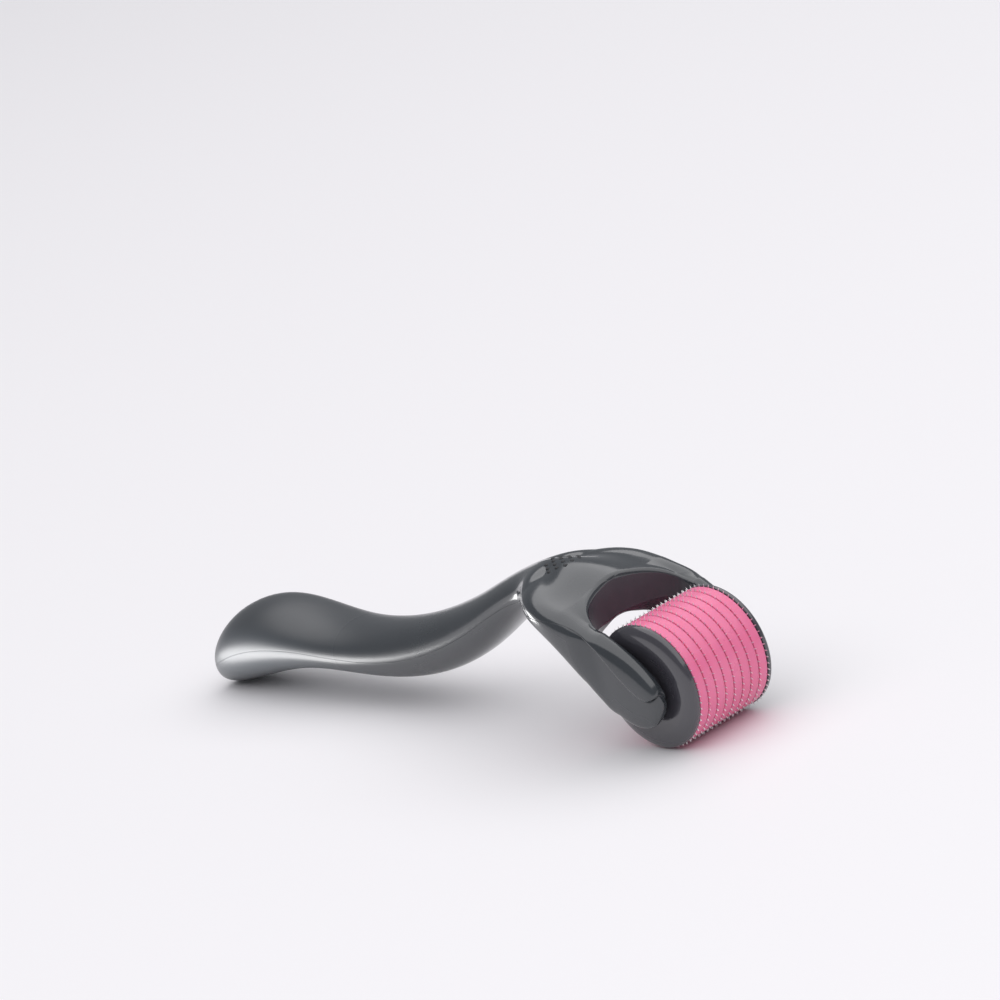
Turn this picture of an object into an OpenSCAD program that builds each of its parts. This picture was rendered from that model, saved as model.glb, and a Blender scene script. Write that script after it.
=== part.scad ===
// Microneedle derma roller: a curved two-shell handle whose forked head carries
// a stacked needle drum on a steel pin.
// Frame: origin under the middle of the object at table height, +X towards the
// drum, +Y to the left, +Z up, millimetres.

/* [Placement] */
// distance of the drum axle forward of the middle
axle_x = 59; // [58.9:0.1:59.1]
// height of the drum axle above the table
axle_z = 11.7; // [11.6:0.1:11.8]

/* [Drum] */
// radius over the pink spacer rings
ring_radius = 11.2; // [11.1:0.1:11.2]
// radius over the needle points
needle_radius = 11.7; // [11.5:0.1:11.7]
// number of needles on each disc
needles_per_disc = 60; // [40:4:60]
// thickness of a stamped needle disc
disc_thick = 0.2; // [0.15:0.05:0.25]
// distance from one needle disc to the next
disc_pitch = 2.1; // [2.05:0.05:2.15]
// radius over the black end caps
cap_radius = 11.3; // [11.2:0.1:11.4]
// thickness of a black end cap
cap_thick = 1.7; // [1.5:0.1:1.8]
// outer radius of the spool inside the stack
core_radius = 6; // [5:0.5:7]

/* [Axle] */
// radius of the steel pin
pin_radius = 1; // [0.8:0.1:1.2]
// length of the steel pin
pin_length = 25.4; // [25:0.2:26]
// radial running clearance of the drum on the pin
pin_clearance = 0.05; // [0.03:0.01:0.08]

/* [Handle] */
// wall thickness of the two handle shells
wall = 2; // [1.6:0.2:2.4]
// half the clear width between the arms
fork_half = 10.9; // [10.8:0.1:11]
// how far behind the straight arms the wall of the fork lies
fork_depth = 7.5; // [7.4:0.1:7.8]
// how far the ridge of the upper shell stands out from the lower one
ridge_step = 0.8; // [0.5:0.1:0.9]
// radius of a grip dot on top of the head
dot_radius = 0.4; // [0.35:0.05:0.45]
// distance between grip dots
dot_gap = 1.7; // [1.6:0.1:1.8]

/* [Hidden] */

ring_thick = disc_pitch - disc_thick;
stack_half = 4 * disc_pitch + disc_thick / 2;
shoulder_wide = 3;                // rounding of an end cap along the radius
shoulder_deep = cap_thick - 0.6;  // and along the axle
black = [0.10, 0.10, 0.11];
pink = [0.90, 0.45, 0.62];
steel = [0.75, 0.76, 0.78];

// Stations along one half of the handle, from the tail to the arm's tip, seen
// from the axle. Each row holds: x, half width, top and top inside, bottom and
// bottom inside, and how arm-like the section is.
stations = [
  [-129.7,  1.0,  -7.8, -7.8,  -9.2, -9.2, 0],
  [-129.7,  3.2,  -5.6, -5.6, -10.8, -10.8, 0],
  [-127.8,  6.6,  -1.6, -1.6, -11.8, -11.8, 0],
  [-121,    8.4,   4.0,  4.0, -10.6, -10.6, 0],
  [-110.5,  9.0,   6.9,  6.9,  -8.0, -8.0, 0],
  [-100,    8.4,   4.6,  4.6,  -6.0, -6.0, 0],
  [-90,     7.5,   3.0,  3.0,  -6.4, -6.4, 0],
  [-80,     6.9,   3.2,  3.2,  -7.2, -7.2, 0],
  [-70,     6.5,   4.4,  4.4,  -6.6, -6.6, 0],
  [-60,     6.2,   6.8,  6.8,  -4.4, -4.4, 0],
  [-50,     6.0,  10.2, 10.2,  -0.2, -0.2, 0],
  [-42,     5.8,  13.8, 13.8,   4.8,  4.8, 0],
  [-36,     5.9,  16.0, 16.2,   8.4,  8.4, 0.05],
  [-32,     6.2,  17.0, 17.5,  10.2, 10.2, 0.15],
  [-29,     7.8,  17.3, 18.2,  11.2, 10.6, 0.3],
  [-26.5,  10.4,  17.3, 18.6,  11.4, 10.4, 0.55],
  [-23.5,  12.6,  16.9, 18.6,  11.2, 10.0, 0.8],
  [-20,    13.9,  15.9, 18.0,  10.4,  9.6, 1],
  [-16.8,  14.5,  15.0, 17.0,   8.4,  9.0, 1],
  [-14.2,  14.7,  14.4, 15.9,   5.8,  8.4, 1],
  [-12.2,  14.7,  13.8, 15.0,   3.2,  8.2, 1],
  [-10,    14.7,  13.0, 13.9,   0.6,  8.0, 1],
  [-7.8,   14.6,  12.0, 12.6,  -2.0,  7.4, 1],
  [-5.5,   14.5,  11.0, 11.2,  -4.4,  2.0, 1],
  [-2,     14.3,   9.1,  9.2,  -6.4, -6.4, 1],
  [1.5,    14.1,   6.7,  6.7,  -6.4, -6.4, 1],
  [4.2,    13.9,   4.0,  4.0,  -4.8, -4.8, 1],
  [6,      13.5,   1.4,  1.4,  -2.8, -2.8, 1],
  [6.4,    12.7,  -0.4, -0.4,  -1.2, -1.2, 1]];
fork_start = 19;    // row where the wall of the fork begins
fork_end = 23;      // row from which the arms run straight
fork_x = -6;        // where the arms start to run straight
fork_square = 2.3;  // how square the corners of the fork are
fork_edge = 0.7;    // rounding along the rims of the fork
arm_edge = 1.5;     // rounding along the upper inner edge of the arms

// The parting line between the two shells, seen from the side. On the arms
// it is the lip of the ridge.
seam = [[-131, -8.9], [-129.6, -8.4], [-127, -6.6], [-121, -3.9], [-110, -1.2], [-100, -0.9],
        [-90, -1.8], [-80, -2.3], [-70, -1.4], [-60, 1.1], [-50, 5.0], [-42, 8.9], [-36, 11.3],
        [-31, 12.7], [-26, 13.1], [-20, 13.2], [-15, 13.1], [-11.5, 12.5], [-8.1, 10.8],
        [-5.6, 8.5], [-4, 6.6], [-1.5, 3.5], [1, 0.9], [2.6, -0.4], [4.4, -0.7], [5.4, 0.1],
        [5.8, 1.7], [5.9, 4]];

steps = 3;      // lengthwise steps between two stations
arc = 6;        // steps round a quarter of the section
crown = 6;      // steps across the top and the bottom

function station(i) =
  i < 0 ? 2 * stations[0] - stations[1] :
  i > len(stations) - 1 ? 2 * stations[i - 1] - stations[i - 2] : stations[i];

// A smooth curve through the rows: u counts rows.
function blend(u) =
  let (i = min(floor(u), len(stations) - 2), t = u - i)
  ((1 - t) ^ 3 * station(i - 1) + (3 * t ^ 3 - 6 * t ^ 2 + 4) * station(i)
   + (3 * t + 3 * t ^ 2 - 3 * t ^ 3 + 1) * station(i + 1) + t ^ 3 * station(i + 2)) / 6;

function ease(t) = let (c = min(max(t, 0), 1)) c * c * (3 - 2 * c);

// Where the inner end of the section at row u lies in plan: x and half width.
function inside(u, x) =
  let (a = 90 * (u - fork_start) / (fork_end - fork_start), e = 2 / fork_square)
  u <= fork_start ?
    [x + (fork_x - fork_depth - blend(fork_start)[0]) * max(0, 1 - (fork_start - u) / 4) ^ 2, 0] :
  u < fork_end ?
    [fork_x - fork_depth * cos(a) ^ e + (x - fork_x) * ease(u - fork_end + 1),
     fork_half * sin(a) ^ e] :
  [x, fork_half + 0.9 * ease(u - 27)];

// Distance in plan from the wall of the fork.
function fork_gap(x, y) =
  let (a = max((fork_x - x) / fork_depth, 0), b = abs(y) / fork_half, n = fork_square,
       reach = max((a ^ n + b ^ n) ^ (1 / n), 0.001),
       slope = norm([(a / reach) ^ (n - 1) / fork_depth, (b / reach) ^ (n - 1) / fork_half]))
  max((reach - 1) / slope, 0);

// How far a rim rounded to radius r falls at a distance d from the wall.
function rim_drop(d, r) = let (g = min(max(r - d, 0), r)) r - sqrt(r * r - g * g);

// Depth of the section's rounded side, measured inwards.
function side_depth(full, k, side) =
  (1 - k) * 0.9 * full + k * min((side > 0 ? 0.8 : 0.5) * full, 3.4);
function side_power(k, side) = 2 / (2.1 + (side > 0 ? 0.5 : 1.6) * k);

// Height where the crown meets the rounded side: a narrow crown rises less.
function outer_height(u, zo, zi, full, k, side) =
  u < fork_start ? zi - (zi - zo) * ease((full - side_depth(full, k, side)) / 5) : zo;

// One quarter of the section: side, crown, inner edge. Side +1 is the top.
function quarter(yo, yi, zm, zo, zi, k, side) =
  let (e = side_power(k, side), ry = side_depth(yo - yi, k, side))
  concat(
    [for (n = [0:arc]) let (a = 8 + 82 * n / arc)
      [yo - ry * (1 - cos(a) ^ e), zm + (zo - zm) * sin(a) ^ e]],
    [for (n = [1:crown]) let (f = 1 - (1 - n / crown) ^ 1.7)
      [(yo - ry) * (1 - f) + yi * f, zo + (zi - zo) * (1 - cos(180 * f)) / 2]]);

// The closed section of one half at row u, stepped in at the side by cut.
function section(u, cut) =
  let (p = blend(u), x = p[0], k = min(max(p[6], 0), 1), in = inside(u, x), yi = in[1],
       yo = p[1] - cut * ease((x + 12) / 7),
       zc = (p[2] + p[4]) / 2, zm = zc + 0.8 * (lookup(x, seam) - zc) * ease((x + 16) / 9),
       top = quarter(yo, yi, zm, outer_height(u, p[2], p[3], yo - yi, k, 1), p[3], k, 1),
       low = quarter(yo, yi, zm, outer_height(u, p[4], p[5], yo - yi, k, -1), p[5], k, -1),
       edge = fork_edge + (arm_edge - fork_edge) * ease((u - 21) / 3))
  [for (side = [1, -1], n = [0:len(top) - 1])
    let (q = side > 0 ? top[n] : low[len(low) - 1 - n], w = (q[0] - yi) / (yo - yi),
         qx = in[0] + (x - in[0]) * w,
         gap = u < fork_end ? fork_gap(qx, q[0]) : q[0] - yi,
         drop = u < fork_start - 1.5 ? 0 : rim_drop(gap, side > 0 ? edge : fork_edge))
    [qx, q[0], q[1] - side * drop]];

// The whole outer form of handle, head and arms. The two halves share their
// points on the middle plane, and no faces are left there.
module body_form(cut) {
  last = (len(stations) - 1) * steps;
  rings = [for (n = [0:last]) section(n / steps, cut)];
  m = len(rings[0]);
  pts = [for (r = rings) each r];
  total = len(pts);
  sides = [for (n = [0:last - 1], j = [0:m - 1])
    let (a = n * m + j, b = n * m + (j + 1) % m)
    each [[b, a, b + m], [b + m, a, a + m]]];
  start = [for (j = [1:m - 2]) [0, j, j + 1]];
  end = [for (j = [1:m - 2]) [last * m, last * m + j + 1, last * m + j]];
  near = [for (f = concat(sides, start, end))
    if (pts[f[0]][1] > 0 || pts[f[1]][1] > 0 || pts[f[2]][1] > 0) f];
  polyhedron(
    points = concat(pts, [for (q = pts) [q[0], -q[1], q[2]]]),
    faces = concat(near, [for (f = near)
      [for (i = [2, 1, 0]) pts[f[i]][1] > 0 ? f[i] + total : f[i]]]));
}

// The hollow inside the handle, one wall in from the outside.
module handle_hollow() {
  rows = [for (n = [7:2:35]) blend(n / 3)];
  rim = 20;
  last = len(rows) - 1;
  rings = [for (n = [0:last]) let (
      p = rows[n], g = min(1, 0.5 + 0.25 * n, 0.5 + 0.25 * (last - n)),
      ry = (p[1] - wall) * g, rz = ((p[2] - p[4]) / 2 - wall) * g)
    [for (j = [0:rim - 1]) let (a = 360 * (j + 0.5) / rim)
      [p[0], ry * cos(a), (p[2] + p[4]) / 2 + rz * sin(a)]]];
  polyhedron(
    points = [for (r = rings) each r],
    faces = concat(
      [[for (j = [0:rim - 1]) j]],
      [for (n = [0:last - 1], j = [0:rim - 1])
        let (a = n * rim + j, b = n * rim + (j + 1) % rim)
        each [[b, a, b + rim], [b + rim, a, a + rim]]],
      [[for (j = [rim - 1:-1:0]) last * rim + j]]));
}

// Everything above the parting line, as a thick slab in Y.
module above_seam() {
  rotate([90, 0, 0]) translate([0, 0, -20]) linear_extrude(40)
    polygon(concat(seam, [[5.9, 30], [-140, 30], [-140, -8.9]]));
}

// Round sockets for the pin in the two arms.
module pin_socket() {
  rotate([90, 0, 0]) translate([0, 0, -pin_length / 2 - 0.05])
    cylinder(r = pin_radius + 0.01, h = pin_length + 0.1, $fn = 48);
}

// A point of the head's upper surface at row u, a distance y off the middle.
function top_point(u, y) =
  let (p = blend(u), k = min(max(p[6], 0), 1), e = side_power(k, 1),
       zm = (p[2] + p[4]) / 2, ry = side_depth(p[1], k, 1), flat = p[1] - ry, a = abs(y),
       zo = outer_height(u, p[2], p[3], p[1], k, 1),
       c = max(0, (a - flat) / ry) ^ (1 / e), in = inside(u, p[0]))
  [in[0] + (p[0] - in[0]) * a / p[1], y,
   a < flat ? zo + (p[3] - zo) * (1 - cos(180 * (1 - a / flat))) / 2
            : zm + (zo - zm) * sqrt(1 - c * c) ^ e];

// Low grip dots on top of the head, in a lozenge of short rows.
module grip_dots() {
  for (n = [0:4], m = [0:4 - abs(n - 2)])
    translate(top_point(14.6 + 0.42 * n, (m - (4 - abs(n - 2)) / 2) * dot_gap) - [0, 0, 0.2])
      sphere(r = dot_radius, $fn = 12);
}

module at_axle() { translate([axle_x, 0, axle_z]) children(); }

module upper_shell() {
  color(black) at_axle() resize([0, 0, 0]) difference() {
    union() {
      intersection() { body_form(0); above_seam(); }
      grip_dots();
    }
    handle_hollow();
    pin_socket();
  }
}

module lower_shell() {
  color(black) at_axle() resize([0, 0, 0]) difference() {
    body_form(ridge_step);
    above_seam();
    handle_hollow();
    pin_socket();
  }
}

module axle_pin() {
  color(steel) at_axle() rotate([90, 0, 0])
    cylinder(r = pin_radius, h = pin_length, center = true);
}

// Two keys lock every ring and disc to the spool.
module key_outline(gap) {
  circle(r = core_radius + gap);
  square([2 * core_radius + 2.4 + 2 * gap, 1.6 + 2 * gap], center = true);
}

// A flat part of the drum lying between two distances along the axle.
module across(y0, thick) {
  translate([0, y0, 0]) rotate([-90, 0, 0]) linear_extrude(thick) children();
}

module drum_core() {
  color(black) at_axle() across(-stack_half, 2 * stack_half) difference() {
    key_outline(0);
    circle(r = pin_radius + pin_clearance);
  }
}

module ring_at(n) {
  y0 = -stack_half + (n - 1) * disc_pitch + disc_thick;
  color(pink) at_axle() across(y0, ring_thick) difference() {
    circle(r = ring_radius);
    key_outline(0.02);
  }
}

// Each needle is a slender point stamped out of the disc's rim.
module disc_at(n) {
  y0 = -stack_half + (n - 1) * disc_pitch;
  step = 360 / needles_per_disc;
  root = ring_radius - 0.4;
  color(steel) at_axle() across(y0, disc_thick) difference() {
    polygon([for (j = [0:needles_per_disc - 1]) let (a = j * step - 90)
      each [root * [cos(a - 1.1), sin(a - 1.1)],
            needle_radius * [cos(a), sin(a)],
            root * [cos(a + 1.1), sin(a + 1.1)]]]);
    key_outline(0.02);
  }
}

// A dished end cap with a broad rounded shoulder and a raised hub round the pin.
module end_cap() {
  color(black) at_axle() rotate([-90, 0, 0]) translate([0, 0, stack_half])
    rotate_extrude() polygon(concat(
      [[pin_radius + pin_clearance, 0], [cap_radius, 0]],
      [for (a = [0:15:90]) [cap_radius - shoulder_wide * (1 - cos(a)),
                            cap_thick - 0.1 - shoulder_deep * (1 - sin(a))]],
      [[5.2, cap_thick - 0.5], [3.4, cap_thick - 0.6], [3, cap_thick],
       [pin_radius + pin_clearance, cap_thick]]));
}

module far_end_cap() { end_cap(); }
module near_end_cap() { mirror([0, 1, 0]) end_cap(); }

upper_shell();
lower_shell();
axle_pin();
drum_core();
near_end_cap();
far_end_cap();
ring_at(1);  // needle_ring_1
ring_at(2);  // needle_ring_2
ring_at(3);  // needle_ring_3
ring_at(4);  // needle_ring_4
ring_at(5);  // needle_ring_5
ring_at(6);  // needle_ring_6
ring_at(7);  // needle_ring_7
ring_at(8);  // needle_ring_8
disc_at(1);  // needle_disc_1
disc_at(2);  // needle_disc_2
disc_at(3);  // needle_disc_3
disc_at(4);  // needle_disc_4
disc_at(5);  // needle_disc_5
disc_at(6);  // needle_disc_6
disc_at(7);  // needle_disc_7
disc_at(8);  // needle_disc_8
disc_at(9);  // needle_disc_9
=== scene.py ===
import math

import bmesh
import bpy
import numpy as np
from mathutils import Matrix, Vector


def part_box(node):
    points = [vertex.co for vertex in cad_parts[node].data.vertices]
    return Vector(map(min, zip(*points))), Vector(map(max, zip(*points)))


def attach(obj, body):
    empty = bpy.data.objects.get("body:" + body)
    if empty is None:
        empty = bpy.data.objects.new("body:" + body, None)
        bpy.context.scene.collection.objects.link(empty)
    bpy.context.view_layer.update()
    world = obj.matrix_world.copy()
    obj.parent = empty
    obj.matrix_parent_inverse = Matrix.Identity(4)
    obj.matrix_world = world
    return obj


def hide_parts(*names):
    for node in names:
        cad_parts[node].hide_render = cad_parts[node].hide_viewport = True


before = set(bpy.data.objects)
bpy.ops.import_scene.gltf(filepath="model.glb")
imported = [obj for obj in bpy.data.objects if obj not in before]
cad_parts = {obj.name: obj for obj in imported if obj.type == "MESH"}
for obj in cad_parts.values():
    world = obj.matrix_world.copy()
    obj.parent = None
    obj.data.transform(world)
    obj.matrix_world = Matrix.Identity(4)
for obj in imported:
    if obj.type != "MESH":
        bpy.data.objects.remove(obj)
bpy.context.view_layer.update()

MM = 0.001

# ---------------------------------------------------------------- placement
pin_low, pin_high = (Vector(v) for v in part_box("axle_pin"))
AXLE = (pin_low + pin_high) / 2     # centre of the drum
cap_low, cap_high = (Vector(v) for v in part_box("far_end_cap"))
CAP_RADIUS = (cap_high.x - cap_low.x) / 2 / MM
CAP_INNER = cap_low.y / MM
CAP_OUTER = cap_high.y / MM
RINGS = 8
DISCS = 9
ring_low, ring_high = (Vector(v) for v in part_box("needle_ring_1"))
RING_RADIUS = (ring_high.x - ring_low.x) / 2 / MM
disc_low, disc_high = (Vector(v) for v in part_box("needle_disc_1"))
NEEDLE_RADIUS = (disc_high.z - disc_low.z) / 2 / MM
NEEDLES = 60
BORE_RADIUS = 6.02                  # of rings and discs, just clear of the spool


# ------------------------------------------------------------------- camera
CAMERA_PLACE = Vector((0.6578, -0.5450, 0.2865))     # from the axle, in metres
CAMERA_TURN = (51.9, -16.25, 15.93)                  # heading, pitch and roll in degrees
CAMERA_LENS = 188.9


def make_camera():
    """A long lens low on the drum's side, tilted a little about its own axis."""
    heading, pitch, roll = (math.radians(v) for v in CAMERA_TURN)
    look = Vector((-math.sin(heading) * math.cos(pitch),
                   math.cos(heading) * math.cos(pitch), math.sin(pitch)))
    right = look.cross(Vector((0, 0, 1))).normalized()
    up = right.cross(look)
    turn = Matrix.Rotation(roll, 3, look)
    right, up = turn @ right, turn @ up
    data = bpy.data.cameras.new("camera")
    data.lens = CAMERA_LENS
    data.sensor_width = 36
    data.clip_start = 0.05
    data.clip_end = 20
    cam = bpy.data.objects.new("camera", data)
    bpy.context.scene.collection.objects.link(cam)
    rot = Matrix((right, up, -look)).transposed()
    cam.matrix_world = Matrix.Translation(AXLE + CAMERA_PLACE) @ rot.to_4x4()
    bpy.context.scene.camera = cam


make_camera()


# ---------------------------------------------------------------- materials
class Nodes:
    """Small helper to write node trees in a few lines."""

    def __init__(self, name):
        self.mat = bpy.data.materials.new(name)
        self.mat.use_nodes = True
        self.tree = self.mat.node_tree
        self.shader = self.tree.nodes["Principled BSDF"]
        self.coord = self.tree.nodes.new("ShaderNodeTexCoord")

    def add(self, kind, ins=None, **props):
        n = self.tree.nodes.new("ShaderNode" + kind)
        for k, v in props.items():
            setattr(n, k, v)
        for k, v in (ins or {}).items():
            self.put(n, k, v)
        return n

    def put(self, n, socket, v):
        s = n.inputs[socket]
        if isinstance(v, bpy.types.NodeSocket):
            self.tree.links.new(v, s)
        else:
            s.default_value = v

    def set(self, **ins):
        for k, v in ins.items():
            self.put(self.shader, k.replace("_", " "), v)

    def noise(self, scale, detail=4.0, rough=0.5, stretch=None):
        vec = self.coord.outputs["Object"]
        if stretch:
            m = self.add("Mapping", {"Vector": vec, "Scale": stretch})
            vec = m.outputs["Vector"]
        n = self.add("TexNoise", {"Vector": vec, "Scale": scale, "Detail": detail,
                                  "Roughness": rough})
        return n.outputs["Fac"]

    def ramp(self, fac, stops):
        r = self.add("ValToRGB", {"Fac": fac})
        el = r.color_ramp.elements
        while len(el) < len(stops):
            el.new(0.5)
        for e, (pos, col) in zip(el, stops):
            e.position = pos
            e.color = (*col, 1)
        return r.outputs["Color"]

    def span(self, fac, low, high, a, b):
        m = self.add("MapRange", {"Value": fac, "From Min": a, "From Max": b,
                                  "To Min": low, "To Max": high})
        return m.outputs["Result"]

    def math(self, op, a, b=0.0):
        m = self.add("Math", operation=op)
        self.put(m, 0, a)
        self.put(m, 1, b)
        return m.outputs[0]

    def bump(self, height, strength, distance, normal=None):
        ins = {"Height": height, "Strength": strength, "Distance": distance}
        if normal is not None:
            ins["Normal"] = normal
        return self.add("Bump", ins).outputs["Normal"]


def gloss_black(name, tone, rough_low, rough_high, coat_rough, satin_tail=0.0):
    """Polished black plastic, with a more worn tail where satin_tail is given."""
    m = Nodes(name)
    broad = m.noise(60, 3)
    fine = m.noise(900, 5, 0.6)
    smudge = m.noise(140, 6, 0.65, (1.0, 2.5, 2.5))
    m.set(Base_Color=m.ramp(broad, [(0.3, tuple(0.85 * t for t in tone)), (0.7, tone)]))
    rough = m.span(smudge, rough_low, rough_high, 0.3, 0.7)
    if satin_tail:
        sep = m.add("SeparateXYZ", {"Vector": m.coord.outputs["Object"]})
        tail = m.span(sep.outputs["X"], satin_tail, 0.0, -0.045, 0.03)
        rough = m.math("ADD", rough, tail)
        coat_rough = m.math("ADD", tail, coat_rough)
    m.set(Roughness=rough, IOR=1.6, Coat_Weight=0.5, Coat_Roughness=coat_rough, Coat_IOR=1.5)
    ripple = m.bump(m.noise(220, 2), 0.10, 0.00012)
    m.set(Normal=m.bump(fine, 0.06, 0.00003, ripple))
    return m.mat


def satin_black(name, tone):
    """The fork's wall, which the mould left less glossy, in a lighter black than the handle's as
    painted light on the wall.
    """
    m = Nodes(name)
    m.set(Base_Color=m.ramp(m.noise(120, 4), [(0.3, tuple(0.8 * t for t in tone)), (0.7, tone)]))
    m.set(Roughness=m.span(m.noise(260, 5), 0.36, 0.48, 0.3, 0.7), IOR=1.38)
    m.set(Normal=m.bump(m.noise(1100, 4), 0.10, 0.00003))
    return m.mat


def pink_plastic():
    m = Nodes("pink_plastic")
    broad = m.noise(90, 3)
    m.set(Base_Color=m.ramp(broad, [(0.3, (0.80, 0.17, 0.33)), (0.7, (0.86, 0.21, 0.38))]))
    m.set(Roughness=m.span(m.noise(300, 5), 0.26, 0.40, 0.3, 0.7), IOR=1.49)
    m.set(Subsurface_Weight=0.15, Subsurface_Scale=0.0008)
    m.set(Normal=m.bump(m.noise(1500, 4), 0.12, 0.00003))
    return m.mat


def needle_steel(name, rough):
    m = Nodes(name)
    tones = [(0.3, (0.80, 0.79, 0.80)), (0.7, (0.92, 0.91, 0.92))]
    m.set(Base_Color=m.ramp(m.noise(500, 3), tones))
    m.set(Metallic=1.0, Roughness=m.span(m.noise(1200, 4), rough, rough + 0.12, 0.3, 0.7))
    m.set(Normal=m.bump(m.noise(2500, 3), 0.08, 0.00002))
    return m.mat


def matte_core():
    m = Nodes("core_plastic")
    tones = [(0.3, (0.02, 0.02, 0.022)), (0.7, (0.035, 0.035, 0.04))]
    m.set(Base_Color=m.ramp(m.noise(200, 3), tones))
    m.set(Roughness=m.span(m.noise(900, 4), 0.5, 0.65, 0.3, 0.7))
    m.set(Normal=m.bump(m.noise(1600, 4), 0.2, 0.00004))
    return m.mat


HANDLE = gloss_black("handle_gloss", (0.038, 0.044, 0.051), 0.14, 0.20, 0.10, 0.22)
# The fork's wall is the handle's plastic in a lighter tone: painted light where the wall shows lit.
FORK_WALL_LIGHTENED = satin_black("fork_wall_satin_painted_light", (0.070, 0.072, 0.082))
CAP = gloss_black("cap_gloss", (0.058, 0.056, 0.068), 0.12, 0.2, 0.08)
PINK = pink_plastic()
STEEL = needle_steel("needle_steel", 0.36)
PIN = needle_steel("pin_steel", 0.14)
CORE = matte_core()

# ------------------------------------------------------------ handle form
# Stations along one half, from the tail to the arm's tip, in mm from the axle:
# x, half width, top and top inside, bottom and bottom inside, how arm-like
# the section is.
STATIONS = np.array([
    [-129.7, 0.2, -8.2, -8.2, -8.8, -8.8, 0],
    [-129.7, 3.2, -5.6, -5.6, -10.8, -10.8, 0],
    [-127.8, 6.6, -1.6, -1.6, -11.8, -11.8, 0],
    [-121, 8.4, 4.0, 4.0, -10.6, -10.6, 0],
    [-110.5, 9.0, 6.9, 6.9, -8.0, -8.0, 0],
    [-100, 8.4, 4.6, 4.6, -6.2, -6.2, 0],
    [-90, 7.5, 3.0, 3.0, -6.4, -6.4, 0],
    [-80, 6.9, 3.2, 3.2, -7.2, -7.2, 0],
    [-70, 6.5, 4.4, 4.4, -6.6, -6.6, 0],
    [-60, 6.2, 6.8, 6.8, -4.4, -4.4, 0],
    [-50, 6.0, 10.2, 10.2, -0.2, -0.2, 0],
    [-42, 5.8, 13.8, 13.8, 4.8, 4.8, 0],
    [-36, 5.9, 16.0, 16.2, 8.4, 8.4, 0.05],
    [-32, 6.2, 17.0, 17.5, 10.2, 10.2, 0.15],
    [-29, 7.8, 17.3, 18.2, 11.2, 10.6, 0.3],
    [-26.5, 10.4, 17.3, 18.6, 11.4, 10.4, 0.55],
    [-23.5, 12.6, 16.9, 18.6, 11.2, 10.0, 0.8],
    [-20, 13.9, 15.9, 18.0, 10.4, 9.6, 1],
    [-16.8, 14.5, 15.0, 17.0, 8.4, 9.0, 1],
    [-14.2, 14.7, 14.4, 15.9, 5.8, 8.4, 1],
    [-12.2, 14.7, 13.8, 15.0, 3.2, 8.2, 1],
    [-10, 14.7, 13.0, 13.9, 0.6, 8.0, 1],
    [-7.8, 14.6, 12.0, 12.6, -2.0, 7.4, 1],
    [-5.5, 14.5, 11.0, 11.2, -4.4, 2.0, 1],
    [-2, 14.3, 9.1, 9.2, -6.4, -6.4, 1],
    [1.5, 14.1, 6.7, 6.7, -6.4, -6.4, 1],
    [4.2, 13.9, 4.0, 4.0, -4.8, -4.8, 1],
    [6, 13.5, 1.4, 1.4, -2.8, -2.8, 1],
    [6.4, 12.7, -0.4, -0.4, -1.2, -1.2, 1]])
FORK_START, FORK_END = 19, 23      # rows between which the fork opens
FORK_X, FORK_DEPTH = -6.0, 7.5     # where the arms run straight, and how far back the wall is
FORK_HALF = 10.9                   # half the width between the arms
FORK_SQUARE = 2.3                  # how square the fork's corners are
FORK_FILLET, ARM_FILLET = 0.7, 1.5  # rounding along the fork's rims and the arms' inner edges
FORK_LEAD = 4                      # rows over which the section swings into the fork
RIM_START, RIM_ROWS = 21, 3        # row where the fork's rim widens to the arm's, over how many rows
RIM_LEAD = 1.5                     # rows before the fork where its rim already shows
TIP_START, TIP_TAPER = 27, 0.9     # row where the arm's inner face curves out, and how far
# Height of the parting line, which becomes the lip of the ridge on the arm.
SEAM = [(-131, -8.9), (-129.6, -8.4), (-127, -6.6), (-121, -3.9), (-110, -1.2), (-100, -0.9),
        (-90, -1.8), (-80, -2.3), (-70, -1.4), (-60, 1.1), (-50, 5.0), (-42, 8.9), (-36, 11.4),
        (-31, 12.7), (-26, 13.1), (-20, 13.2), (-15, 13.1), (-11.5, 12.5), (-8.1, 11.0),
        (-5.6, 8.5), (-4, 6.6), (-1.5, 3.4), (1, 0.7), (2.7, -0.5), (4.6, -0.9), (8, -1.0)]
SEAM_GAP = (0.008, 0.03)  # half the gap between the shells, on the handle and on the arms
SEAM_PULL = 0.8           # how far the widest line follows the seam on the arms
PULL_START, PULL_LENGTH = -16, 9        # x where it starts to, and over what length
HANDLE_SQUARE = 2.1       # how square the handle's section is
ARM_TOP, ARM_LOW = (0.5, 0.8), (1.6, 0.5)       # how much squarer the arm is, and how deep it curves
TOP_SHARE, TIP_SHARE = 0.3, 0.5         # how much of the step the arm's top and tip take
RIDGE_FLUSH = 0.9         # how much of the step the ridge's end drops
LIP_ROUND = (0.04, 0.6)   # rounding of the shells' lips, on the handle and on the arms
INNER_FOOT = 0.4          # height of the inner seam over the wall's rounded foot
INNER_RISE = (21.5, 1.5)  # row where the inner seam climbs to mid height, and over how many rows
INNER_LEAD = (13, 4)      # row where it leaves the outer seam's height, and over how many rows
CROWN_FULL = 5            # width of a crown that rises fully
ARM_ROUND = 3.4           # how far the arm's sides curve in at top and bottom
NUDGE = 0.02              # smallest step between neighbouring points
MIDDLE = 1e-7             # in metres, how near the middle plane counts as on it
ARC_POINTS, CROWN_POINTS, CROWN_BUNCH = 60, 50, 1.7
RING_POINTS, WALL_POINTS, LIP_POINTS, FACE_POINTS = 56, 8, 5, 9
SKIN_INSET = 0.03         # how far the skin stays inside the CAD's flat-sided form
RIDGE_STEP = 1.0          # how far the ridge stands proud of the arm's panel
RIDGE_START, RIDGE_FULL = -12, -5       # x where the step starts, and where it is full
RIDGE_ROUND, RIDGE_END = 25.4, 27.2     # rows between which the ridge's end rounds off


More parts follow.
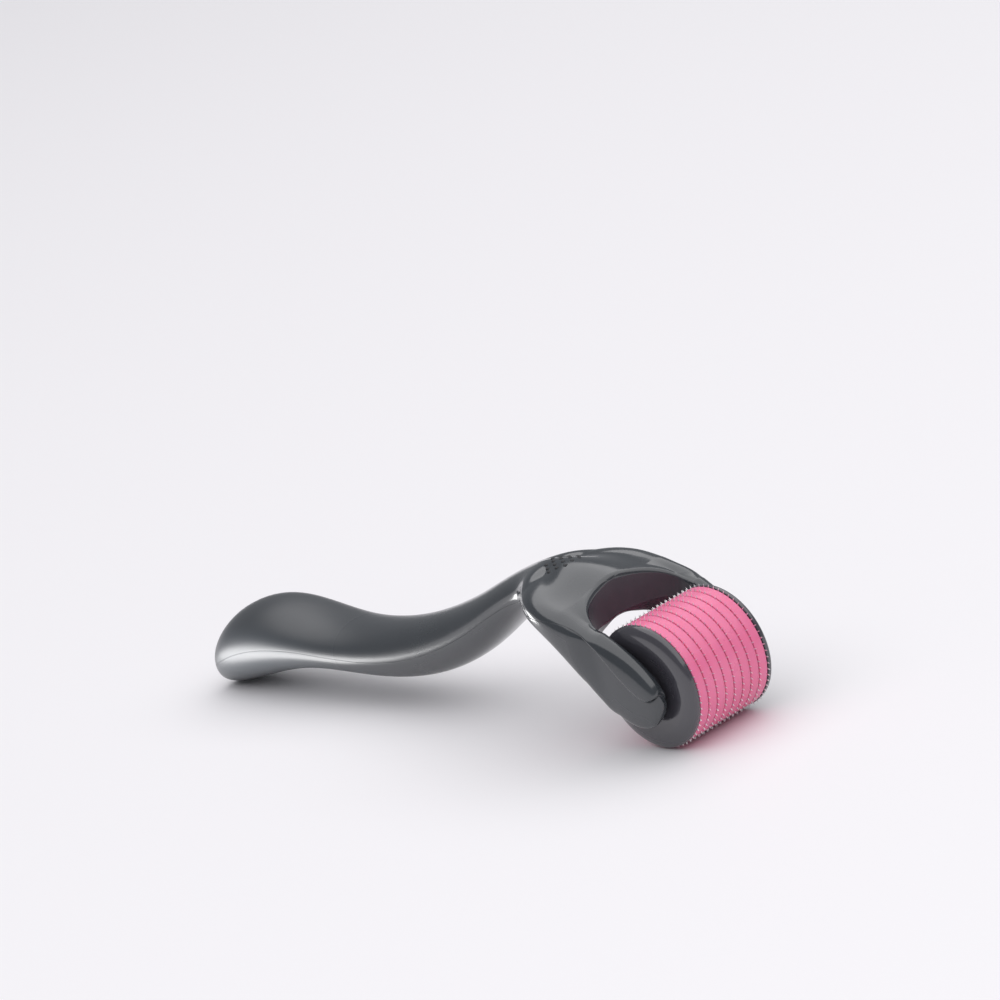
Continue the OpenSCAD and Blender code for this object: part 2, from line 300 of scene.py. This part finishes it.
def through(x, pts):
    """A smooth curve through given points."""
    xs, ys = np.array(pts).T
    i = int(np.clip(np.searchsorted(xs, x) - 1, 0, len(xs) - 2))
    m = np.gradient(ys, xs)
    h = xs[i + 1] - xs[i]
    t = min(max((x - xs[i]) / h, 0), 1)
    return ((2 * t ** 3 - 3 * t ** 2 + 1) * ys[i] + (t ** 3 - 2 * t ** 2 + t) * h * m[i]
            + (3 * t ** 2 - 2 * t ** 3) * ys[i + 1] + (t ** 3 - t ** 2) * h * m[i + 1])


def ease(t):
    """From 0 to 1, with a gentle start and end."""
    t = np.clip(t, 0, 1)
    return t * t * (3 - 2 * t)


def station(u):
    """The section's numbers at row u, on a smooth cubic through the rows:
    x outside, x inside, half width, inner half width, heights, arm share."""
    last = len(STATIONS) - 1
    rows = np.vstack([2 * STATIONS[0] - STATIONS[1], STATIONS,
                      2 * STATIONS[last] - STATIONS[last - 1]])

    def at(v):
        i = min(int(v), last - 1)
        t = v - i
        w = ((1 - t) ** 3, 3 * t ** 3 - 6 * t ** 2 + 4, 3 * t + 3 * t ** 2 - 3 * t ** 3 + 1, t ** 3)
        return sum(w[k] * rows[i + k] for k in range(4)) / 6

    x, wide, top, top_in, low, low_in, k = at(u)
    back = FORK_X - FORK_DEPTH
    if u <= FORK_START:
        s = max(0, (u - FORK_START) / FORK_LEAD + 1)
        x_in, y_in = x + (back - at(FORK_START)[0]) * s * s, 0.0
    elif u < FORK_END:
        a = math.radians(90 * (u - FORK_START) / (FORK_END - FORK_START))
        x_in = FORK_X - FORK_DEPTH * max(math.cos(a), 0) ** (2 / FORK_SQUARE)
        y_in = FORK_HALF * math.sin(a) ** (2 / FORK_SQUARE)
        x_in += (x - FORK_X) * ease(u - FORK_END + 1)
    else:
        x_in, y_in = x, FORK_HALF + TIP_TAPER * ease(u - TIP_START)
    return x, x_in, wide, y_in, top, top_in, low, low_in, min(max(k, 0), 1)


def fork_gap(x, y):
    """Distance in plan from the fork's inner wall."""
    a = np.maximum((FORK_X - x) / FORK_DEPTH, 0)
    b = np.abs(y) / FORK_HALF
    n = FORK_SQUARE
    norm = np.maximum((a ** n + b ** n) ** (1 / n), 1e-6)
    slope = np.hypot((a / norm) ** (n - 1) / FORK_DEPTH, (b / norm) ** (n - 1) / FORK_HALF)
    return np.maximum((norm - 1) / slope, 0)


def rim_radius(u):
    """Rounding of the inner top edge at row u."""
    return FORK_FILLET + (ARM_FILLET - FORK_FILLET) * ease((u - RIM_START) / RIM_ROWS)


def rim_drop(d, r):
    """How far a rim of radius r falls at a distance d from the wall."""
    g = np.clip(r - d, 0, r)
    return r - np.sqrt(r ** 2 - g ** 2)


def outline(u, p, cut):
    """Half section as one curve from the inner bottom edge, round the outside,
    to the inner top edge, in (y, z), and the index range of its outer side."""
    x, x_in, yo, yi, top, top_in, low, low_in, k = p
    yo = yo - cut - SKIN_INSET
    zm = (top + low) / 2
    zm += SEAM_PULL * (through(x, SEAM) - zm) * ease((x - PULL_START) / PULL_LENGTH)
    full = yo - yi

    def quarter(zo, zi, side, square, depth):
        e = 2 / (HANDLE_SQUARE + square * k)
        ry = full * (1 - k) + k * min(depth * full, ARM_ROUND)
        if u < FORK_START:      # a narrow crown rises less
            zo = zi - (zi - zo) * ease((full - ry) / CROWN_FULL)
        a = np.radians(np.linspace(0, 90, ARC_POINTS))
        c, s = np.cos(a).clip(0) ** e, np.sin(a) ** e
        arc = np.c_[yo - ry * (1 - c), zm + (zo - zm) * s]
        f = 1 - (1 - np.linspace(0, 1, CROWN_POINTS)[1:]) ** CROWN_BUNCH    # closer by the fork
        crown = np.c_[(yo - ry) * (1 - f) + yi * f, zo + (zi - zo) * (1 - np.cos(np.pi * f)) / 2]
        q = np.vstack([arc, crown])
        if u > FORK_START - RIM_LEAD:
            xs = x_in + (x - x_in) * (q[:, 0] - yi) / full
            d = fork_gap(xs, q[:, 0]) if u < FORK_END else q[:, 0] - yi
            q[:, 1] -= side * rim_drop(d, rim_radius(u) if side > 0 else FORK_FILLET)
        return q, len(arc)

    drop = TOP_SHARE * cut
    up, n_up = quarter(top - drop, top_in - drop, 1, *ARM_TOP)
    down, n_down = quarter(low, low_in, -1, *ARM_LOW)
    curve = np.vstack([down[::-1], up[1:]])
    return curve, len(down) - n_down, len(down) - 1 + n_up - 1


def resample(curve, n, turn_weight):
    """n points along a curve, closer together where it bends."""
    d = np.diff(curve, axis=0)
    ds = np.hypot(d[:, 0], d[:, 1])
    ok = ds > 1e-6
    bend = np.zeros(len(ds))
    ang = np.unwrap(np.arctan2(d[ok, 1], d[ok, 0]))
    bend[ok] = np.r_[0, np.abs(np.diff(ang))]
    cum = np.r_[0, np.cumsum(ds + turn_weight * np.minimum(bend, 1.0))]
    if cum[-1] < 1e-9:
        return np.repeat(curve[:1], n, axis=0)
    t = np.linspace(0, cum[-1], n)
    return np.c_[np.interp(t, cum, curve[:, 0]), np.interp(t, cum, curve[:, 1])]


def ridge_lift(u):
    """How far the ridge's end has rounded off, from 0 to 1."""
    w = min(max((u - RIDGE_ROUND) / (RIDGE_END - RIDGE_ROUND), 0), 1)
    return 1 - math.sqrt(max(0, 1 - w * w))


def seam_heights(u, p):
    """Height of the parting line outside and inside."""
    x, _, _, _, top, top_in, _, low_in, _ = p
    foot = low_in + FORK_FILLET + INNER_FOOT
    zi = foot + ((top_in + low_in) / 2 - foot) * ease((u - INNER_RISE[0]) / INNER_RISE[1])
    lift = ridge_lift(u)
    outer = through(x, SEAM)
    if u < sum(INNER_LEAD):
        zi = outer + (zi - outer) * ease((u - INNER_LEAD[0]) / INNER_LEAD[1])
    return outer + (top - outer) * lift, zi + (top_in - rim_radius(u) - zi) * lift


def seam_corner(side, height):
    """The point at a height on the section's outer side, and the index after it."""
    j = int(np.searchsorted(side[:, 1], height))
    t = (height - side[j - 1, 1]) / max(side[j, 1] - side[j - 1, 1], 1e-9)
    return side[j - 1] + (side[j] - side[j - 1]) * t, j


def shell_lip(run, corner, centre, r):
    """Round a shell's outer lip: the curve from the seam's face on to the side."""
    cum = np.r_[0, np.cumsum(np.hypot(*np.diff(run, axis=0).T))]
    r = min(r, 0.25 * cum[-1])
    start = np.array([np.interp(r, cum, run[:, 0]), np.interp(r, cum, run[:, 1])])
    rest = np.vstack([start, run[cum > r + 1e-6]])
    inward = centre - corner
    end = corner + inward * min(r / max(np.hypot(*inward), 1e-9), 0.3)
    f = np.linspace(0, 1, LIP_POINTS)[:, None]
    return (1 - f) ** 2 * end + 2 * f * (1 - f) * corner + f ** 2 * start, rest


def half_ring(u, upper):
    """One closed ring of a shell's half, as (x, y, z) points in mm."""
    p = station(u)
    x_out, x_in, y_out, y_in = p[:4]
    ridge = ease((x_out - RIDGE_START) / (RIDGE_FULL - RIDGE_START))
    step = RIDGE_STEP * (RIDGE_FLUSH * ridge_lift(u) if upper else ridge)
    curve, first, last = outline(u, p, step)
    wall_top, wall_low = curve[-1], curve[0]
    side = curve[first:last + 1]
    whole = not upper and u >= RIDGE_END        # the arm's tip, all of it the lower shell's
    gap = SEAM_GAP[0] + (SEAM_GAP[1] - SEAM_GAP[0]) * ridge
    gap *= 1 if upper else -1
    zs, zi = seam_heights(u, p)
    zs = min(max(zs + gap, side[0, 1] + NUDGE), side[-1, 1] - NUDGE)
    if whole:
        zs, zi = side[-1, 1] - NUDGE, wall_top[1]
    zi = min(max(zi + gap, wall_low[1] + NUDGE), wall_top[1] - NUDGE)
    corner, j = seam_corner(side, zs)
    if upper:
        run = np.vstack([corner, curve[first + j:]])
        wall_end = wall_top
    else:
        run = np.vstack([corner, curve[:first + j][::-1]])
        wall_end = wall_low
    centre = np.array([y_in, zi])
    r = LIP_ROUND[0] + (LIP_ROUND[1] - LIP_ROUND[0]) * ridge * (1 - ridge_lift(u))
    lip, rest = shell_lip(run, corner, centre, NUDGE if whole else r)
    wall = np.c_[np.full(WALL_POINTS, y_in), np.linspace(wall_end[1], zi, WALL_POINTS)]
    if whole:
        face = resample(curve[last:][::-1], FACE_POINTS, 1.0)[1:-1]
    else:
        face = centre + (lip[0] - centre) * np.linspace(0, 1, FACE_POINTS)[1:-1, None]
    pts = np.vstack([lip[:-1], resample(rest, RING_POINTS, 2.5), wall[1:], face])
    w = (pts[:, 0] - y_in) / max(y_out - y_in, 1e-9)
    x = x_in + (x_out - x_in) * w.clip(0, 1) - TIP_SHARE * step * ease((x_out - 2) / 4)
    return np.c_[x, pts]


def ring_rows(upper):
    """The rows at which a shell is sectioned, closer together at the head."""
    spans = [(0, 12, 0.125), (12, FORK_START - 0.4, 0.1), (FORK_START - 0.4, FORK_START, 0.04),
             (FORK_START, FORK_END, 0.05), (FORK_END, RIDGE_ROUND, 0.08)]
    rows = [u for span in spans for u in np.arange(*span)]
    a = np.radians(np.linspace(0, 90, 17))
    rows += list(RIDGE_ROUND + (RIDGE_END - RIDGE_ROUND) * np.sin(a))
    if not upper:
        last = len(STATIONS) - 1
        rows += list(np.arange(RIDGE_END + 0.04, last, 0.07)) + [last]
    return rows


def build_shell(name, upper):
    """Skin the rings of one half, mirror it and weld it along the middle."""
    rows = ring_rows(upper)
    rings = [half_ring(u, upper) for u in rows]
    m = len(rings[0])
    pts = np.vstack(rings) * MM + np.array(AXLE)
    pts[:, 1][np.abs(pts[:, 1]) < MIDDLE] = 0
    wall_first = LIP_POINTS - 1 + RING_POINTS - 1
    bm = bmesh.new()
    for mirror in (1, -1):
        vs = [bm.verts.new((x, y * mirror, z)) for x, y, z in pts]
        quads = []
        for n in range(len(rings) - 1):
            for j in range(m):
                k = (j + 1) % m
                q = (n * m + j, n * m + k, (n + 1) * m + k, (n + 1) * m + j)
                if any(pts[i][1] for i in q):
                    quads.append(q)
        quads.append(tuple(range(m)))
        quads.append(tuple(range((len(rings) - 1) * m, len(rings) * m)))
        for q in quads:
            face = bm.faces.new([vs[i] for i in q])
            n, j = divmod(min(q), m)
            in_fork = FORK_START - 1 < rows[n] < FORK_END
            on_wall = wall_first <= j < wall_first + WALL_POINTS
            face.material_index = 1 if in_fork and on_wall else 0
    bmesh.ops.remove_doubles(bm, verts=bm.verts, dist=2 * MIDDLE)
    bmesh.ops.dissolve_degenerate(bm, edges=bm.edges, dist=MIDDLE)
    bmesh.ops.recalc_face_normals(bm, faces=bm.faces)
    obj = make_object(name, bm, HANDLE)
    obj.data.materials.append(FORK_WALL_LIGHTENED)
    return obj


def make_object(name, bm, mat, smooth=True):
    """Turn a bmesh into an object in the scene, with edges over 38 degrees kept sharp."""
    mesh = bpy.data.meshes.new(name)
    bm.to_mesh(mesh)
    bm.free()
    for poly in mesh.polygons:
        poly.use_smooth = smooth
    if smooth:
        mesh.set_sharp_from_angle(angle=math.radians(38))
    obj = bpy.data.objects.new(name, mesh)
    bpy.context.scene.collection.objects.link(obj)
    mesh.materials.append(mat)
    return obj


DOT_FIRST, DOT_ROWS, DOT_STEP = 14.6, 5, 0.42    # first row of dots, how many, how far apart
DOT_MOST, DOT_GAP = 5, 1.7                        # dots in the middle row, and their spacing
DOT_PROFILE = ((0.40, -0.12), (0.38, 0.03), (0.30, 0.11), (0.16, 0.15))   # radius and height
DOT_SIDES = 16


def dome(bm, x, y, z):
    """One closed dome of stacked circles, given in mm from the axle."""
    turns = [2 * math.pi * k / DOT_SIDES for k in range(DOT_SIDES)]
    rings = [[bm.verts.new(AXLE + MM * Vector((x + r * math.cos(t), y + r * math.sin(t), z + h)))
              for t in turns] for r, h in DOT_PROFILE]
    for lo, hi in zip(rings, rings[1:]):
        for k in range(DOT_SIDES):
            n = (k + 1) % DOT_SIDES
            bm.faces.new((lo[k], lo[n], hi[n], hi[k]))
    bm.faces.new(rings[0])
    bm.faces.new(rings[-1])


def grip_dots():
    """Low matte domes on top of the head, in a lozenge of short rows."""
    bm = bmesh.new()
    for n in range(DOT_ROWS):
        u = DOT_FIRST + DOT_STEP * n
        p = station(u)
        curve, _, last = outline(u, p, 0)
        top = curve[last:][::-1]
        count = DOT_MOST - abs(n - DOT_ROWS // 2)
        for m in range(count):
            y = DOT_GAP * (m - (count - 1) / 2)
            z = float(np.interp(abs(y), top[:, 0], top[:, 1]))
            dome(bm, p[1] + (p[0] - p[1]) * abs(y) / p[2], y, z)
    bmesh.ops.recalc_face_normals(bm, faces=bm.faces)
    return make_object("grip_dots", bm, CORE)


dots = grip_dots()
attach(dots, "handle")
upper = build_shell("upper_shell_skin", True)
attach(upper, "handle")
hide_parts("upper_shell")
lower = build_shell("lower_shell_skin", False)
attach(lower, "handle")
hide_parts("lower_shell")


# ------------------------------------------------------------------ drum
def lathe(name, profile, mat, segments=180):
    """Turn a closed profile of (radius, y) points about the axle."""
    bm = bmesh.new()
    loops = []
    for s in range(segments):
        a = 2 * math.pi * s / segments
        loops.append([bm.verts.new(AXLE + MM * Vector((r * math.cos(a), y, r * math.sin(a))))
                      for r, y in profile])
    n = len(profile)
    for s in range(segments):
        p, q = loops[s], loops[(s + 1) % segments]
        for j in range(n):
            bm.faces.new((p[j], p[(j + 1) % n], q[(j + 1) % n], q[j]))
    bmesh.ops.recalc_face_normals(bm, faces=bm.faces)
    return make_object(name, bm, mat)


def fillet(profile, radii, steps=4):
    """Round the corners of a closed profile."""
    out = []
    n = len(profile)
    for i in range(n):
        p = Vector(profile[i])
        r = radii[i]
        if r <= 0:
            out.append(tuple(p))
            continue
        a = (Vector(profile[i - 1]) - p).normalized() * r
        b = (Vector(profile[(i + 1) % n]) - p).normalized() * r
        for k in range(steps + 1):
            t = k / steps
            q = p + a * (1 - t) ** 2 + b * t ** 2
            out.append(tuple(q))
    return out


for i in range(RINGS):
    node = "needle_ring_%d" % (i + 1)
    low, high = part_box(node)
    y0, y1 = low[1] / MM, high[1] / MM
    prof = fillet([(BORE_RADIUS, y0), (RING_RADIUS, y0), (RING_RADIUS, y1),
                   (BORE_RADIUS, y1)], [0, 0.16, 0.16, 0])
    ring = lathe("pink_ring_%d" % (i + 1), prof, PINK)
    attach(ring, "drum")
    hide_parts(node)


NEEDLE_ROOT = RING_RADIUS - 0.42
# Each needle narrows from its root to its point: radius, half angle in degrees, half thickness.
NEEDLE_NECK = (RING_RADIUS + 0.15, 0.5, 0.08)
NEEDLE_POINT = (NEEDLE_RADIUS, 0.06, 0.012)
ROOT_ANGLE = 0.75


def needle_disc(name, y0, y1):
    """A thin disc whose rim is stamped into slender pointed needles."""
    bm = bmesh.new()
    yc, half = (y0 + y1) / 2, (y1 - y0) / 2
    angles = [2 * math.pi * j / NEEDLES for j in range(NEEDLES)]

    def vert(r, a, y):
        return bm.verts.new(AXLE + MM * Vector((r * math.sin(a), y, -r * math.cos(a))))

    def sides(lo, hi):
        for i in range(4):
            bm.faces.new((lo[i], lo[(i + 1) % 4], hi[(i + 1) % 4], hi[i]))

    rim = []
    inner = []
    for a in angles:
        for turn in (-math.radians(ROOT_ANGLE), math.radians(ROOT_ANGLE)):
            rim.append([vert(NEEDLE_ROOT, a + turn, y) for y in (yc - half, yc + half)])
            inner.append([vert(BORE_RADIUS, a + turn, y) for y in (yc - half, yc + half)])
    n = len(rim)
    for j in range(n):
        p, q, s, t = rim[j], rim[(j + 1) % n], inner[j], inner[(j + 1) % n]
        bm.faces.new((s[0], t[0], q[0], p[0]))
        bm.faces.new((p[1], q[1], t[1], s[1]))
        bm.faces.new((s[1], t[1], t[0], s[0]))
        if j % 2:
            bm.faces.new((p[0], q[0], q[1], p[1]))
    for j, a in enumerate(angles):
        below = (*rim[2 * j], *reversed(rim[2 * j + 1]))
        for r, degrees, thick in (NEEDLE_NECK, NEEDLE_POINT):
            w = math.radians(degrees)
            corners = ((-w, -thick), (-w, thick), (w, thick), (w, -thick))
            above = [vert(r, a + turn, yc + dy) for turn, dy in corners]
            sides(below, above)
            below = above
        bm.faces.new(below)
    bmesh.ops.recalc_face_normals(bm, faces=bm.faces)
    return make_object(name, bm, STEEL, smooth=False)


for i in range(DISCS):
    node = "needle_disc_%d" % (i + 1)
    low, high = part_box(node)
    disc = needle_disc("steel_disc_%d" % (i + 1), low[1] / MM, high[1] / MM)
    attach(disc, "drum")
    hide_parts(node)


PIN_BORE = 1.05
SHOULDER_WIDE, SHOULDER_DEEP = 3.0, 1.1     # the elliptical rounding at the cap's rim
EDGE = 0.1


def end_cap(name, node, sign):
    """A cap with a broad rounded shoulder, a shallow dish and a boss round the pin."""
    r, y0, y1 = CAP_RADIUS, CAP_INNER, CAP_OUTER
    turns = [math.radians(7.5 * k) for k in range(13)]
    shoulder = [(r - SHOULDER_WIDE * (1 - math.cos(a)),
                 y1 - EDGE - SHOULDER_DEEP * (1 - math.sin(a))) for a in turns]
    rim = [(PIN_BORE, y0), (r - EDGE, y0), (r, y0 + EDGE)]
    dish = [(r - SHOULDER_WIDE, y1 - EDGE), (5.2, y1 - 0.5), (3.4, y1 - 0.6), (3.0, y1),
            (PIN_BORE, y1)]
    prof = rim + shoulder + fillet(dish, [0, 1.2, 0.3, 0.2, 0.1], 6)[1:]
    cap = lathe(name, [(a, sign * b) for a, b in prof], CAP, 240)
    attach(cap, "drum")
    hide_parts(node)


end_cap("far_cap", "far_end_cap", 1)
end_cap("near_cap", "near_end_cap", -1)


def dress(node, mat):
    """Give a carried-over CAD node its finished material."""
    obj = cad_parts[node]
    obj.data.materials.clear()
    obj.data.materials.append(mat)


dress("axle_pin", PIN)
dress("drum_core", CORE)


# ------------------------------------------------------------------ stage
def stage_floor():
    """A plain pale floor that runs out of the picture."""
    m = Nodes("pale_floor")
    mottle = m.math("MULTIPLY", m.noise(4, 3), 0.06)
    m.set(Base_Color=m.ramp(mottle, [(0.0, (0.88, 0.87, 0.89)), (1.0, (0.80, 0.79, 0.81))]))
    m.set(Roughness=0.6)
    bm = bmesh.new()
    away = Vector((-0.787, 0.617, 0))      # the way the camera looks
    side = Vector((0.617, 0.787, 0))
    near, far, half_wide, thick = -1.5, 3.0, 3, 0.02
    section = ((near, -thick), (near, 0.0), (far, 0.0), (far, -thick))
    rows = [[bm.verts.new(away * d + side * w + Vector((0, 0, h))) for w in (-half_wide, half_wide)]
            for d, h in section]
    for a, b in zip(rows, rows[1:]):
        bm.faces.new((a[0], a[1], b[1], b[0]))
    bmesh.ops.recalc_face_normals(bm, faces=bm.faces)
    obj = make_object("floor", bm, m.mat)


def area_light(name, power, size, place, aim, colour=(1, 1, 1)):
    """A rectangular lamp at a place, in metres, turned to face its aim."""
    data = bpy.data.lights.new(name, "AREA")
    data.shape = "RECTANGLE"
    data.size, data.size_y = size
    data.energy = power
    data.color = colour
    obj = bpy.data.objects.new(name, data)
    bpy.context.scene.collection.objects.link(obj)
    obj.location = place
    d = Vector(aim) - Vector(place)
    obj.rotation_euler = d.to_track_quat("-Z", "Y").to_euler()


def studio_world():
    """Dim, slightly cool light from all round."""
    world = bpy.data.worlds.new("studio")
    bpy.context.scene.world = world
    world.use_nodes = True
    background = world.node_tree.nodes["Background"]
    background.inputs["Color"].default_value = (0.86, 0.88, 0.93, 1)
    background.inputs["Strength"].default_value = 0.28


stage_floor()
studio_world()
# A large softbox overhead, and a small strip by the floor for the long low highlight on the handle.
area_light("key", 64, (4.2, 4.0), (0.75, 0.1, 1.4), (0.75, 0.1, 0), (1.0, 0.985, 0.99))
area_light("low_strip", 0.043, (0.085, 0.026), (-0.080, -0.027, 0.0006), (-0.080, -0.027, 1))
bpy.context.scene.view_settings.view_transform = "Standard"
